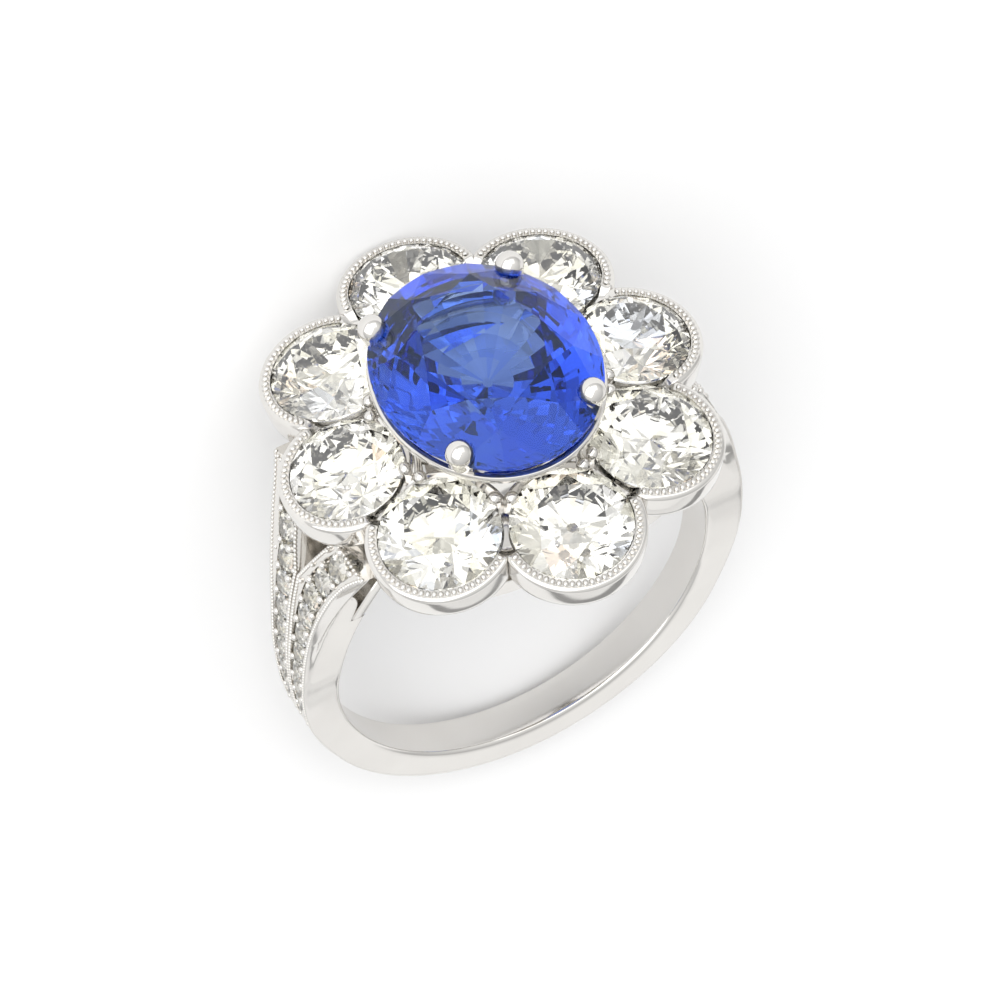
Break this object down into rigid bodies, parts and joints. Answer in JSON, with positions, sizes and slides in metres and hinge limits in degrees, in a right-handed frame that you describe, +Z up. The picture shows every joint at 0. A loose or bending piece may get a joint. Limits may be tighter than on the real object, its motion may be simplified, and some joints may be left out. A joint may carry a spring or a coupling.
{
  "type": "sapphire and diamond cluster ring",
  "caption": "Finger ring with an oval faceted sapphire in claws over a flower of round diamonds in beaded rims, on a split shoulder band set with small diamonds, lying on its side.",
  "frame": {"origin": "middle of the ring's box on the surface that it lies on", "axes": "+Z up from the surface; +Y from the stones towards the back of the band; X across the shoulders; the finger axis leans 23 degrees from +Z towards +Y"},
  "size_m": [0.0204, 0.0256, 0.0186],
  "materials": {
    "platinum": "polished",
    "sapphire": "faceted",
    "diamond": "faceted"
  },
  "bodies": {
    "root": {"ring_mount": "platinum", "sapphire": "sapphire", "diamond_1": "diamond", "diamond_2": "diamond", "diamond_3": "diamond", "diamond_4": "diamond", "diamond_5": "diamond", "diamond_6": "diamond", "diamond_7": "diamond", "diamond_8": "diamond", "shoulder_diamonds_left": "diamond", "shoulder_diamonds_right": "diamond"}
  },
  "joints": []
}
